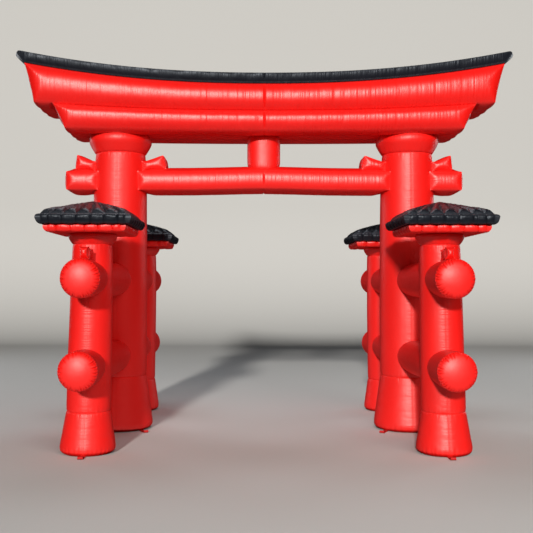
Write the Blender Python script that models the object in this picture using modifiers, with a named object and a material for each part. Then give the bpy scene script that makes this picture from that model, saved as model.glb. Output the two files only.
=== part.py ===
"""Inflatable torii arch: a four-legged gate of sewn, air-filled fabric.

Metres, +Z up. The middle of the gate stands over the origin, its front faces -Y,
and the soles of its feet are at z = 0. Every piece that is cut and sewn as a form
of its own is one object: beams, bracing wedges, pillars and posts with their
flared feet and bowl capitals, quilted slabs and hip roofs, tie tubes with domed
ends, and the webbing loops that peg the feet down.
"""
import math

import bmesh
import bpy
from mathutils import Matrix, Vector

GAP = 0.0003                # between pieces that touch
EDGE_DRAW = 0.010           # how far an edge is drawn in between two corners
ON_SKIN = 0.999             # a pillow's coordinate beyond this is on its face
SHARP = math.radians(50.0)  # edges bent more than this stay sharp
LEVEL = math.radians(0.5)   # faces of a level top that bend less than this are joined

# Plan of the legs: axes at floor level, for the side at +X
PILLAR_X = 1.55
FRONT_POST_X = 1.632
BACK_POST_X = 1.526
POST_Y = 1.315              # from a pillar's axis to its front and back post
POST_LEAN = 0.018           # a post comes in by this much for each metre of height

# Beams. Lengths are half lengths, at the lower and the upper edge
KASAGI_HALF = (2.398, 2.500)
SHIMAKI_HALF = (2.076, 2.202)
ROOF_HALF = (2.506, 2.596)
SHIMAKI_BOTTOM = (3.142, 0.034)     # height at the middle, rise at END_REACH
KASAGI_BOTTOM = (3.346, 0.094)
KASAGI_TOP = (3.628, 0.212)
ROOF_TOP = (3.736, 0.217)
END_REACH = 2.48
BEAM_CURVE = 2.2            # power of the upsweep towards the ends
BEAM_DEPTH = 0.78
ROOF_DEPTH = 0.81
STATIONS = (0.0, 0.06, 0.45, 0.85, 1.25, 1.62, 1.95, SHIMAKI_HALF[1], 2.34)
LAST_STATION = 0.03         # the least distance from a station to a beam's end
KASAGI_SWELL = 0.055        # crown of a beam's front and back
SHIMAKI_SWELL = 0.044
ROOF_SWELL = 0.022
BEAM_RAMP = 0.22            # from a beam's end to its full crown
BEAM_END_SWELL = 0.045
ROOF_END_SWELL = 0.055
ROOF_END_RAMP = 0.3         # share of the depth in which the roof's end is full
LOBES = 3                   # lengthwise channels under a beam
LOBE_DROP = 0.032
LOBE_START = 0.03           # from the second beam's end to the first channel beyond it
SEAM_PINCH = 0.45           # share of the crown that a middle seam takes away
SEAM_HALF = 0.01            # half the width of the stretch that it pinches
FLANK = 0.55                # cuts across a beam's front, as shares of its half height

# Cross beam with its outer stubs, strut and wedges
NUKI_Z = (2.54, 2.742)
NUKI_HALF_DEPTH = 0.19
NUKI_REACH = 2.10
NUKI_SWELL = 0.030          # of its front, back and ends
NUKI_BELLY = 0.038          # of its underside
NUKI_CROWN = 0.055          # of its top
NUKI_RAMP = 0.11            # from a pinched end to the full crown
NUKI_FULL = 1.20            # half the stretch at the full crown
NUKI_ARCH = 0.017           # the strut pulls its middle up by this much
NUKI_ARCH_HALF = 0.55       # half the stretch that is pulled up
NUKI_AT_PILLAR = (1.33, 1.77)       # where the pillar's skin meets its inner and outer part
PANEL = 0.6                 # cuts across a pillow's face, as shares of its half side
STRUT_HALF = 0.15
STRUT_SWELL = 0.028
WEDGE_HALF_DEPTH = 0.125
WEDGE_SWELL = 0.022
WEDGE_END_SWELL = 0.016
WEDGE_CUTS = (0.1, 0.45, 0.75)
WEDGE_OUTER = (2.015, 1.998)        # far end at the base and at the peak
WEDGE_INNER = (1.045, 1.075)
WEDGE_HEIGHTS = (0.113, 0.190)      # above the cross beam, at the pillar and at the far end

# Turned profiles: height and radius, top to bottom
PILLAR_STEPS = 24
PILLAR = ((2.940, 0.266), (2.925, 0.268), (2.780, 0.278), (2.400, 0.288),
          (1.500, 0.295), (0.700, 0.293), (0.585, 0.289), (0.569, 0.286))
PILLAR_FOOT = ((0.5687, 0.286), (0.550, 0.291), (0.100, 0.3545), (0.055, 0.358),
               (0.020, 0.344), (0.000, 0.302))
PILLAR_CAPITAL = ((3.250, 0.270), (3.165, 0.317), (3.135, 0.331), (3.095, 0.335),
                  (3.055, 0.326), (2.958, 0.279), (2.9403, 0.266))
POST_STEPS = 20
POST = ((1.900, 0.181), (1.885, 0.184), (1.700, 0.190), (1.150, 0.198),
        (0.500, 0.204), (0.400, 0.203), (0.383, 0.200))
POST_FOOT = ((0.3827, 0.200), (0.366, 0.2045), (0.100, 0.2475), (0.055, 0.2545),
             (0.020, 0.246), (0.000, 0.213))
POST_CAPITAL = ((1.9997, 0.190), (1.9985, 0.214), (1.980, 0.224), (1.950, 0.216),
                (1.915, 0.192), (1.9003, 0.181))

# Quilted slab and hip roof on each post
SLAB_Z = (2.0, 2.068)
SLAB_HALF = (0.350, 0.412)
SLAB_LOBES = (6, 7)
ROOF_BAND = (2.0683, 2.150)
POST_ROOF_HALF = (0.402, 0.468)
POST_ROOF_LOBES = (7, 7)
POST_ROOF_RISE = 0.125
POST_ROOF_POWER = 0.8       # below 1 its flanks are rounded out
QUILT = 0.017               # how far a quilted lobe stands out
QUILT_SEAM = 0.35           # the share of it that is left on a seam
RIB = 0.0136                # how far a rib of the hip roof stands up
RIB_RAMP = 0.25             # share of the half depth over which a rib rises from the edge

# Tie tubes through post, pillar and post
TUBE_STEPS = 16
TUBE_HEIGHTS = (("lower", 0.790), ("upper", 1.587))
TUBE_RADIUS = 0.172
TUBE_WAIST = 0.165
STUB_REACH = 0.54           # from the post's axis to the seam of the end cap
SEAM_RADIUS = 0.169
SEAM_DRAW = 0.06            # length over which the seam draws the tube in
DOME = 0.072                # from the seam to the cap's top
DOME_STEPS = 4
POST_WEDGE_HALF = (0.045, 0.085)
POST_WEDGE_FOOT = 0.8       # how low it starts, as a share of the tube's radius
POST_WEDGE_TOP = 1.872
POST_WEDGE_SLOPE = 0.02     # it is this much lower against the post
POST_WEDGE_CUTS = (-0.2, 0.5)
POST_WEDGE_SWELL = 0.010
POST_WEDGE_Y = 0.285        # its middle, in front of the post's axis

# Webbing loops at the feet
WEB_WIDTH = 0.050
WEB = 0.0025
LOOP_HEIGHT = 0.026
EYE = 0.075                 # length of the loop's open eye
EYE_NOSE = 0.002            # height of the eye at its narrow end
EYE_NOSE_IN = 0.004         # from where the layers part to the eye's narrow end
TURN_STEPS = 6
WELD = 0.00005
# Where a strap starts, inwards and forwards of the foot's axis, its turn inwards in
# degrees, and its length from there, part of which the foot cuts away
POST_LOOP = {"inwards": 0.0, "forwards": 0.05, "aim": 0.0, "length": 0.295}
PILLAR_LOOP = {"inwards": 0.204, "forwards": 0.06, "aim": 25.0, "length": 0.30}

RED = (0.80, 0.018, 0.014, 1.0)
BLACK = (0.022, 0.023, 0.027, 1.0)
RED_ROUGHNESS = 0.38
BLACK_ROUGHNESS = 0.45
WEBBING_ROUGHNESS = 0.7
SIDES = (("left", -1), ("right", 1))
# Rows of posts: name, direction from the pillar, place, how far the tube ends turn inwards
POSTS = (("front", -1, FRONT_POST_X, 0.0), ("back", 1, BACK_POST_X, 0.045))


def clear_scene():
    for obj in list(bpy.data.objects):
        bpy.data.objects.remove(obj, do_unlink=True)


def collection(name):
    new = bpy.data.collections.new(name)
    bpy.context.scene.collection.children.link(new)
    return new


def material(name, colour, roughness):
    new = bpy.data.materials.new(name)
    new.use_nodes = True
    shader = new.node_tree.nodes["Principled BSDF"]
    shader.inputs["Base Color"].default_value = colour
    shader.inputs["Roughness"].default_value = roughness
    shader.inputs["Metallic"].default_value = 0.0
    return new


def add(name, mesh, fabric=None):
    """Put a mesh in the scene as a piece, or as a cutter when it has no fabric."""
    piece = bpy.data.objects.new(name, mesh)
    if fabric:
        PIECES.objects.link(piece)
        mesh.materials.clear()
        mesh.materials.append(fabric)
    else:
        CUTTERS.objects.link(piece)
        piece.hide_render = True
        piece.display_type = "WIRE"
    return piece


def cut(piece, *cutters):
    for cutter in cutters:
        boolean = piece.modifiers.new("cut by " + cutter.name, "BOOLEAN")
        boolean.operation = "DIFFERENCE"
        boolean.solver = "EXACT"
        boolean.object = cutter


def shifted(piece, offset):
    """A cutter with the shape of a piece, moved by the gap that its neighbour keeps."""
    cutter = add(piece.name + ".cutter", piece.data)
    cutter.location = piece.location + Vector(offset)
    return cutter


def turned_mesh(name, profile, steps, lean=0.0):
    """The mesh of a profile turned about Z, each height moved along X by its lean."""
    outline = [(r, z) for z, r in profile] + [(0.0, profile[-1][0])]
    if outline[0][0] > 0.0:
        outline.insert(0, (0.0, profile[0][0]))
    line = bpy.data.meshes.new(name)
    points = [(r, 0.0, z) for r, z in outline]
    line.from_pydata(points, [(i, i + 1) for i in range(len(points) - 1)], [])
    turner = bpy.data.objects.new(name, line)
    CUTTERS.objects.link(turner)
    screw = turner.modifiers.new("turn", "SCREW")
    screw.steps = steps
    screw.render_steps = steps
    screw.use_merge_vertices = True
    screw.merge_threshold = 0.0001
    graph = bpy.context.evaluated_depsgraph_get()
    mesh = bpy.data.meshes.new_from_object(turner.evaluated_get(graph))
    bpy.data.objects.remove(turner, do_unlink=True)
    mesh.transform(Matrix(((1, 0, lean, 0), (0, 1, 0, 0), (0, 0, 1, 0), (0, 0, 0, 1))))
    mesh.shade_smooth()
    mesh.set_sharp_from_angle(angle=SHARP)
    return mesh


def grown(profile):
    """A profile for cutters, larger all round by the gap between pieces."""
    return [(z, r + GAP) for z, r in profile]


def turned(name, profile, steps, place, fabric=None, lean=0.0):
    piece = add(name, turned_mesh(name, profile, steps, lean), fabric)
    piece.location = place
    return piece


def arch(t, ramp=1.0):
    """0 at the ends t = -1 and 1, rising to 1 within the ramp."""
    s = min(1.0, max(0.0, (1.0 - abs(t)) / ramp))
    return s * (2.0 - s)


def lobe(t, count):
    """Channels side by side from t = -1 to 1: 0 on each seam and 1 on each crown."""
    across = (t + 1.0) / 2.0 * count
    return 1.0 - (2.0 * (across - math.floor(across)) - 1.0) ** 2


def puff(a, b, rise, draw):
    """How far a face stands out: rise in its middle, drawn in along its edges."""
    return (rise + draw) * a * b - draw * max(a, b)


def pillow(name, cuts, shape, fabric, flat=False):
    """A box from -1 to 1, cut at the given planes, with each point moved by shape.

    flat joins the faces of its level top or bottom into one.
    """
    form = bmesh.new()
    bmesh.ops.create_cube(form, size=2.0)
    for axis, places in enumerate(cuts):
        normal = [float(axis == i) for i in range(3)]
        for place in places:
            everything = form.verts[:] + form.edges[:] + form.faces[:]
            point = [place * n for n in normal]
            bmesh.ops.bisect_plane(form, geom=everything, plane_co=point, plane_no=normal)
    for vert in form.verts:
        vert.co = shape(*vert.co)
    if form.calc_volume(signed=True) < 0.0:
        bmesh.ops.reverse_faces(form, faces=form.faces)
    if flat:
        bmesh.ops.dissolve_limit(form, angle_limit=LEVEL, verts=form.verts, edges=form.edges)
    bmesh.ops.triangulate(form, faces=form.faces)
    mesh = bpy.data.meshes.new(name)
    form.to_mesh(mesh)
    form.free()
    mesh.shade_smooth()
    mesh.set_sharp_from_angle(angle=SHARP)
    return add(name, mesh, fabric)


def both(*values):
    """Each value with its negative, once each, in order."""
    return sorted({s * v for v in values for s in (-1.0, 1.0)})


def seams(count):
    """The places of a row of lobes' seams and crowns, between the ends."""
    return [i / count - 1.0 for i in range(1, 2 * count)]


def mix(pair, t):
    return pair[0] + (pair[1] - pair[0]) * t


def sweep(level, x):
    """The height of a beam's long edge over x."""
    return level[0] + level[1] * abs(x / END_REACH) ** BEAM_CURVE


def middle_seam(x):
    return 1.0 - SEAM_PINCH if abs(x) < SEAM_HALF else 1.0


def beam(name, half, lower, upper, depth, swell, end_swell, end_ramp, lobed, fabric):
    """A swept box with slanted ends, crowned faces and channels underneath.

    lower and upper give an x its edge height, half the half lengths, and
    lobed how far the underside's channels drop at an x.
    """
    stations = [x for x in STATIONS if x < min(half) - LAST_STATION]
    reach = max(half)

    def shape(u, v, w):
        level = (w + 1.0) / 2.0
        end = mix(half, level)
        flank = arch(w)
        x = u * reach
        along = 0.0
        if abs(u) > ON_SKIN:
            x = math.copysign(end + puff(arch(v, end_ramp), flank, end_swell, EDGE_DRAW), u)
        else:
            along = arch(abs(x) / end, BEAM_RAMP / end) * middle_seam(x)
        y = v * depth / 2.0
        if abs(v) > ON_SKIN:
            y += v * swell * flank * along
        z = lower(x) + (upper(x) - lower(x)) * level
        if w < -ON_SKIN:
            z -= lobed(abs(x)) * lobe(v, LOBES) * along
        return x, y, z

    places = both(*(x / reach for x in stations if x < reach))
    return pillow(name, (places, seams(LOBES), both(0.0, FLANK)), shape, fabric)


def beams():
    def kasagi_lobes(x):
        return LOBE_DROP if x > SHIMAKI_HALF[1] + LOBE_START else 0.0

    def shimaki_lobes(x):
        return LOBE_DROP

    beam("kasagi", KASAGI_HALF, lambda x: sweep(KASAGI_BOTTOM, x),
         lambda x: sweep(KASAGI_TOP, x), BEAM_DEPTH, KASAGI_SWELL,
         BEAM_END_SWELL, 1.0, kasagi_lobes, RED_FABRIC)
    beam("roof_strip", ROOF_HALF, lambda x: sweep(KASAGI_TOP, x) + GAP,
         lambda x: sweep(ROOF_TOP, x), ROOF_DEPTH, ROOF_SWELL,
         ROOF_END_SWELL, ROOF_END_RAMP, lambda x: 0.0, BLACK_FABRIC)
    return beam("shimaki", SHIMAKI_HALF, lambda x: sweep(SHIMAKI_BOTTOM, x),
                lambda x: sweep(KASAGI_BOTTOM, x) - GAP, BEAM_DEPTH, SHIMAKI_SWELL,
                BEAM_END_SWELL, 1.0, shimaki_lobes, RED_FABRIC)


def nuki_part(name, inner, outer, skin, middle):
    """A stretch of the cross beam from x = inner to outer, pinched where it meets the skin."""
    def shape(u, v, w):
        x = mix((inner, outer), (u + 1.0) / 2.0)
        free = skin - abs(x) if middle else min(abs(x - skin), abs(outer - x))
        along = arch(1.0 - min(1.0, max(0.0, free) / NUKI_RAMP))
        if middle:
            along *= middle_seam(x)
        flank, deep = arch(w), arch(v)
        y = v * NUKI_HALF_DEPTH
        z = mix(NUKI_Z, (w + 1.0) / 2.0)
        if middle:
            z += NUKI_ARCH * math.exp(-(x / NUKI_ARCH_HALF) ** 2)
        if abs(v) > ON_SKIN:
            y += v * puff(along, flank, NUKI_SWELL, EDGE_DRAW)
        if abs(w) > ON_SKIN:
            z += w * puff(along, deep, NUKI_BELLY if w < 0.0 else NUKI_CROWN, EDGE_DRAW)
        if not middle and u > ON_SKIN:
            x += math.copysign(puff(flank, deep, NUKI_SWELL, EDGE_DRAW), outer)
        return x, y, z

    if middle:
        stations = both(0.0, STATIONS[1], NUKI_ARCH_HALF, NUKI_FULL, skin)
    else:
        ramp = math.copysign(NUKI_RAMP, outer)
        stations = [skin, skin + ramp, outer - ramp]
    places = sorted(2.0 * (x - inner) / (outer - inner) - 1.0 for x in stations)
    return pillow(name, (places, both(0.0, PANEL), both(0.0, PANEL)), shape, RED_FABRIC)


def wedge(name, side, far):
    """A bracing wedge on the cross beam, from inside the pillar to its tall far end."""
    base_end, peak_end = far
    low = mix(NUKI_Z, 0.5)
    skin = NUKI_AT_PILLAR[1] if base_end > PILLAR_X else NUKI_AT_PILLAR[0]

    def shape(u, v, w):
        level, along = (w + 1.0) / 2.0, (u + 1.0) / 2.0
        x = PILLAR_X + (mix((base_end, peak_end), level) - PILLAR_X) * along
        fraction = (x - skin) / (base_end - skin)
        top = NUKI_Z[1] + mix(WEDGE_HEIGHTS, fraction)
        z = low + (top - low) * level
        y = v * WEDGE_HALF_DEPTH
        free = arch(2.0 * min(1.0, max(0.0, fraction)) - 1.0)
        above = arch(max(-1.0, 2.0 * (z - NUKI_Z[1]) / (top - NUKI_Z[1]) - 1.0)) if w < ON_SKIN else 0.0
        if abs(v) > ON_SKIN:
            y += v * puff(free, above, WEDGE_SWELL, EDGE_DRAW)
        if w > ON_SKIN:
            z += puff(free, arch(v), WEDGE_END_SWELL, EDGE_DRAW)
        if u > ON_SKIN:
            x += math.copysign(puff(above, arch(v), WEDGE_END_SWELL, EDGE_DRAW), base_end - PILLAR_X)
        return side * x, y, z

    return pillow(name, (WEDGE_CUTS, both(0.0, PANEL), WEDGE_CUTS), shape, RED_FABRIC)


def strut():
    """The short upright between the cross beam and the beams above."""
    low, high = mix(NUKI_Z, 0.5), mix((SHIMAKI_BOTTOM[0], KASAGI_BOTTOM[0]), 0.5)

    def shape(u, v, w):
        z = mix((low, high), (w + 1.0) / 2.0)
        x = u * STRUT_HALF + (u * STRUT_SWELL * arch(v) if abs(u) > ON_SKIN else 0.0)
        y = v * STRUT_HALF + (v * STRUT_SWELL * arch(u) if abs(v) > ON_SKIN else 0.0)
        return x, y, z

    return pillow("strut", (both(0.0, PANEL), both(0.0, PANEL), []), shape, RED_FABRIC)


def pillar(side_name, side, beam_space):
    """One pillar with its foot, its capital under the beam, and its loop."""
    place = Vector((side * PILLAR_X, 0.0, 0.0))
    turned("pillar_" + side_name, PILLAR, PILLAR_STEPS, place, RED_FABRIC)
    turned("pillar_foot_" + side_name, PILLAR_FOOT, PILLAR_STEPS, place, RED_FABRIC)
    capital = turned("pillar_capital_" + side_name, PILLAR_CAPITAL, PILLAR_STEPS, place, RED_FABRIC)
    cut(capital, beam_space)
    foot_cutter = turned("foot_space_" + side_name, grown(PILLAR_FOOT), PILLAR_STEPS, place)
    loop("loop_pillar_" + side_name, side, place, PILLAR_LOOP, foot_cutter)
    return turned("pillar_space_" + side_name, grown(PILLAR), PILLAR_STEPS, place)


def cross_beam(spaces, beam_space):
    """The cross beam between the pillars, its stubs outside, its strut and its wedges."""
    middle = nuki_part("nuki", -PILLAR_X, PILLAR_X, NUKI_AT_PILLAR[0], True)
    cut(middle, *spaces)
    above = shifted(middle, (0.0, 0.0, GAP))
    cut(strut(), above, beam_space)
    for (side_name, side), space in zip(SIDES, spaces):
        stub = nuki_part("nuki_stub_" + side_name, side * PILLAR_X, side * NUKI_REACH,
                         side * NUKI_AT_PILLAR[1], False)
        cut(stub, space)
        outer = wedge("nuki_wedge_outer_" + side_name, side, WEDGE_OUTER)
        cut(outer, space, shifted(stub, (0.0, 0.0, GAP)))
        inner = wedge("nuki_wedge_inner_" + side_name, side, WEDGE_INNER)
        cut(inner, space, above)


def quilted(name, half, heights, counts, crown, place, fabric):
    """A low box with quilted lobes along its rim; crown gives each point's extra height."""
    def shape(u, v, w):
        rim = arch(w)
        x, y = u * half[0], v * half[1]
        if abs(u) > ON_SKIN:
            x += u * QUILT * mix((QUILT_SEAM, 1.0), lobe(v, counts[1])) * rim
        if abs(v) > ON_SKIN:
            y += v * QUILT * mix((QUILT_SEAM, 1.0), lobe(u, counts[0])) * rim
        z = mix(heights, (w + 1.0) / 2.0)
        if w > ON_SKIN:
            z += crown(u, v)
        return x, y, z

    piece = pillow(name, (seams(counts[0]), seams(counts[1]), [0.0]), shape, fabric, flat=True)
    piece.location = place
    return piece


def roof_crown(u, v):
    """A low pyramid with rounded flanks, ribbed from front to back."""
    inward = min(1.0 - abs(u), 1.0 - abs(v))
    ribs = RIB * lobe(u, POST_ROOF_LOBES[0]) * min(1.0, (1.0 - abs(v)) / RIB_RAMP)
    return POST_ROOF_RISE * inward ** POST_ROOF_POWER + ribs


def post(side_name, side, row, pillar_space):
    """One post with its foot, capital, slab, roof, tie tubes and, in front, wedge and loop."""
    row_name, toward, floor_x, toe = row
    tag = row_name + "_" + side_name
    lean = -side * POST_LEAN
    place = Vector((side * floor_x, toward * POST_Y, 0.0))
    turned("post_" + tag, POST, POST_STEPS, place, RED_FABRIC, lean)
    turned("post_foot_" + tag, POST_FOOT, POST_STEPS, place, RED_FABRIC, lean)
    turned("post_capital_" + tag, POST_CAPITAL, POST_STEPS, place, RED_FABRIC, lean)
    space = turned("post_space_" + tag, grown(POST), POST_STEPS, place, None, lean)
    top = place + Vector((lean * SLAB_Z[0], 0.0, 0.0))
    quilted("slab_" + tag, SLAB_HALF, SLAB_Z, SLAB_LOBES, lambda u, v: 0.0, top, RED_FABRIC)
    quilted("post_roof_" + tag, POST_ROOF_HALF, ROOF_BAND, POST_ROOF_LOBES, roof_crown, top,
            BLACK_FABRIC)
    for level_name, height in TUBE_HEIGHTS:
        axis = place + Vector((lean * height, 0.0, height))
        stub = tube("tube_end_%s_%s" % (level_name, tag), axis, Vector((-side * toe, toward, 0.0)),
                    dome() + [(STUB_REACH - SEAM_DRAW, TUBE_RADIUS), (0.0, TUBE_WAIST)])
        cut(stub, space)
        inward = Vector((side * PILLAR_X, 0.0, height)) - axis
        tie = tube("tube_tie_%s_%s" % (level_name, tag), axis, inward,
                   ((inward.length, TUBE_WAIST), (inward.length / 2.0, TUBE_RADIUS),
                    (0.0, TUBE_WAIST)))
        cut(tie, space, pillar_space)
    if row_name == "front":
        foot_space = turned("post_foot_space_" + tag, grown(POST_FOOT), POST_STEPS, place, None, lean)
        loop("loop_post_" + side_name, side, place, POST_LOOP, foot_space)
        post_wedge("post_wedge_" + side_name, axis, space, stub)


def dome():
    """The rounded end of a tube: distance and radius, from its top to its seam."""
    turns = [math.radians(90.0) * i / DOME_STEPS for i in range(DOME_STEPS + 1)]
    return [(STUB_REACH + DOME * math.cos(t), SEAM_RADIUS * math.sin(t)) for t in turns]


def tube(name, start, direction, profile):
    """A tube from start along direction; its profile is distance and radius, far end first."""
    piece = add(name, turned_mesh(name, profile, TUBE_STEPS), RED_FABRIC)
    piece.location = start
    piece.rotation_mode = "QUATERNION"
    piece.rotation_quaternion = direction.to_track_quat("Z", "Y")
    return piece


def post_wedge(name, axis, space, stub):
    """A small pinched cushion on top of the upper tube end, against the post."""
    half_x, half_y = POST_WEDGE_HALF
    low = axis.z + TUBE_RADIUS * POST_WEDGE_FOOT

    def shape(u, v, w):
        high = POST_WEDGE_TOP - POST_WEDGE_SLOPE * (v + 1.0) / 2.0
        z = mix((low, high), (w + 1.0) / 2.0)
        x, y = u * half_x, v * half_y
        if abs(u) > ON_SKIN:
            x += u * puff(arch(v), arch(w), POST_WEDGE_SWELL, EDGE_DRAW)
        if abs(v) > ON_SKIN:
            y += v * puff(arch(u), arch(w), POST_WEDGE_SWELL, EDGE_DRAW)
        if w > ON_SKIN:
            z += puff(arch(u), arch(v), POST_WEDGE_SWELL, EDGE_DRAW)
        return axis.x + x, axis.y - POST_WEDGE_Y + y, z

    piece = pillow(name, (both(0.0, PANEL), both(0.0, PANEL), POST_WEDGE_CUTS), shape, RED_FABRIC)
    lift = add(name + ".cutter", stub.data)
    lift.location = stub.location + Vector((0.0, 0.0, GAP))
    lift.rotation_mode = "QUATERNION"
    lift.rotation_quaternion = stub.rotation_quaternion
    cut(piece, space, lift)


def loop(name, side, foot, row, foot_space):
    """A folded webbing strip that points forward from a foot, open between its layers."""
    bend = LOOP_HEIGHT / 2.0
    crotch, turn = row["length"] - EYE, row["length"] - bend

    def arc(radius):
        turns = [math.pi * i / TURN_STEPS for i in range(TURN_STEPS + 1)]
        return [(turn + radius * math.sin(t), bend - radius * math.cos(t)) for t in turns]

    nose = crotch + EYE_NOSE_IN
    outer = [(0.0, 0.0)] + arc(bend) + [(crotch, 2.0 * WEB + EYE_NOSE), (0.0, 2.0 * WEB)]
    inner = [(nose, WEB)] + arc(bend - WEB) + [(nose, WEB + EYE_NOSE)]
    curve = bpy.data.curves.new(name, "CURVE")
    curve.dimensions = "2D"
    curve.fill_mode = "BOTH"
    curve.extrude = WEB_WIDTH / 2.0
    for points in (outer, inner):
        spline = curve.splines.new("POLY")
        spline.points.add(len(points) - 1)
        for point, (forward, up) in zip(spline.points, points):
            point.co = (forward, up, 0.0, 1.0)
        spline.use_cyclic_u = True
    drawn = bpy.data.objects.new(name, curve)
    CUTTERS.objects.link(drawn)
    graph = bpy.context.evaluated_depsgraph_get()
    mesh = bpy.data.meshes.new_from_object(drawn.evaluated_get(graph))
    bpy.data.objects.remove(drawn, do_unlink=True)
    welded = bmesh.new()
    welded.from_mesh(mesh)
    bmesh.ops.remove_doubles(welded, verts=welded.verts, dist=WELD)
    welded.to_mesh(mesh)
    welded.free()
    piece = add(name, mesh, RED_WEBBING)
    aim = math.radians(row["aim"])
    along = Vector((-side * math.sin(aim), -math.cos(aim), 0.0))
    up = Vector((0.0, 0.0, 1.0))
    start = foot + Vector((-side * row["inwards"], -row["forwards"], 0.0))
    turned_axes = Matrix((along, up, along.cross(up))).transposed()
    piece.matrix_world = Matrix.Translation(start) @ turned_axes.to_4x4()
    cut(piece, foot_space)


clear_scene()
PIECES = collection("inflatable_torii_arch")
CUTTERS = collection("cutters")
RED_FABRIC = material("red coated fabric", RED, RED_ROUGHNESS)
BLACK_FABRIC = material("black coated fabric", BLACK, BLACK_ROUGHNESS)
RED_WEBBING = material("red webbing", RED, WEBBING_ROUGHNESS)

SHIMAKI_SPACE = shifted(beams(), (0.0, 0.0, -GAP))
SPACES = [pillar(side_name, side, SHIMAKI_SPACE) for side_name, side in SIDES]
cross_beam(SPACES, SHIMAKI_SPACE)
for (side_name, side), pillar_space in zip(SIDES, SPACES):
    for row in POSTS:
        post(side_name, side, row, pillar_space)
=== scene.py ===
import math

import bpy
import numpy as np
from mathutils import Matrix, Vector


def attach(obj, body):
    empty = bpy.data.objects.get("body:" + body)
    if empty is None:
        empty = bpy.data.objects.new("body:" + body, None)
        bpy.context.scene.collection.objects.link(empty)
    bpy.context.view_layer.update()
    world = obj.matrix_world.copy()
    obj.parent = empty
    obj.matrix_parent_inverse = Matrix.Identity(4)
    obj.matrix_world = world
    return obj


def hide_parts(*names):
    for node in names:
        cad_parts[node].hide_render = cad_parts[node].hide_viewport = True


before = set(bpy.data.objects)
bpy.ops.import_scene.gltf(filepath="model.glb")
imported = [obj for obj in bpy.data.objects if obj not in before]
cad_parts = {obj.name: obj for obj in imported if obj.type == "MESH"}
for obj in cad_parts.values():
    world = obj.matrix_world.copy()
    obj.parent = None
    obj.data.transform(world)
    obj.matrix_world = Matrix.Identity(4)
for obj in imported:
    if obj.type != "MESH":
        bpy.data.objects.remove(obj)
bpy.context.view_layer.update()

join = np.concatenate

CLEAR = 0.0008  # between pieces that touch
EDGE_DRAW = 0.01  # how far a beam's edge is drawn in between two corners
DRAW = 0.004  # the same for the cross beam, its stubs and wedges
CORNER = 0.014  # rounds the ends of the cross beam's stubs and wedges

# Plan of the legs, as in the part
PILLAR_X = 1.55
POST_Y = 1.315
POST_LEAN = 0.018
SIDES = (("left", -1), ("right", 1))
POSTS = (("front", -1, 1.632, 0), ("back", 1, 1.526, 0.045))

# Beams, as in the part
KASAGI_HALF = (2.398, 2.5)
SHIMAKI_HALF = (2.076, 2.202)
ROOF_HALF = (2.506, 2.578)
SHIMAKI_BOTTOM = (3.142, 0.034)
KASAGI_BOTTOM = (3.346, 0.094)
KASAGI_TOP = (3.628, 0.212)
ROOF_TOP = (3.736, 0.217)
END_REACH = 2.48
BEAM_CURVE = 2.2
BEAM_DEPTH = 0.78
ROOF_DEPTH = 0.81
LOBES = 3
LOBE_DROP = 0.032
LOBE_RAMP = 0.09  # from a beam's end to where its channels are full
LOBE_START = 0.035  # over which the top beam's channels begin beyond the second beam
LOBED_FROM = SHIMAKI_HALF[1] + 0.012
ALL_LOBED, NOT_LOBED = -1, 9
END_LOBES = 0.2  # the share of a channel's depth that its open end keeps
END_BELLY = 0.02  # how far a beam's underside hangs at its open end
BELLY_RAMP = 0.2
END_DENT = 0.004
END_FALL = 0.1  # from a beam's end to where its edges aren't drawn in
CROWN_POWER = 2.45  # how flat a beam's face stays before it falls to its long edges
BEAM_CELL = 0.0095
HIP = 0.19  # from a beam's end to where its crown is full
MIDDLE_SEAM = ((0.04, 0.018), (0.24, 0.0045))  # what it takes off a crown, and over what length
CREASED_HALF = 1.5  # how far from the middle a beam's folds stay strong
TICK_SHARE = 2.2  # depth of the puckers on a beam's long seams, in folds

# Cross beam, strut and wedges, as in the part
NUKI_Z = (2.54, 2.742)
NUKI_HALF_DEPTH = 0.19
NUKI_HALF_HEIGHT = 0.101
NUKI_REACH = 2.1
NUKI_SWELL = 0.03
NUKI_BELLY = 0.038
NUKI_CROWN = 0.055
NUKI_RAMP = 0.11
NUKI_HIP = 0.095
NUKI_HEM = 0.06  # the width over which an edge is drawn in
NUKI_CELL = 0.008
NUKI_FOLD, NUKI_TICK, NUKI_UNDER_FOLD = 0.0011, 0.004, 0.0015
NUKI_LIFT = (0.017, 0.55)  # how far the strut pulls it up in the middle, and how wide
LEG_HALF = 0.285  # about the pillar's radius there
STUB_SWELL = 0.026
STUB_LENGTH = 0.27
STRUT_HALF = 0.178
STRUT_POWER = 2.3
STRUT_HEIGHT = 0.35
STRUT_PINCH = 0.01
STRUT_DENT = 0.0025
STRUT_STEPS, STRUT_RINGS = 120, 40
FAN = (0, 0.35, 0.7)  # the rings that close its ends, as shares of its width
WEDGE_HALF_DEPTH = 0.125
WEDGE_SWELL = 0.022
WEDGE_END_SWELL = 0.016
WEDGE_HEM = 0.05
WEDGE_TICK = 0.0025
WEDGE_OUTER = (2.015, 1.998)
WEDGE_INNER = (1.045, 1.075)
WEDGE_HEIGHTS = (0.113, 0.19)
WEDGE_LENGTH, WEDGE_MIDDLE = 0.28, 0.15

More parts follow.
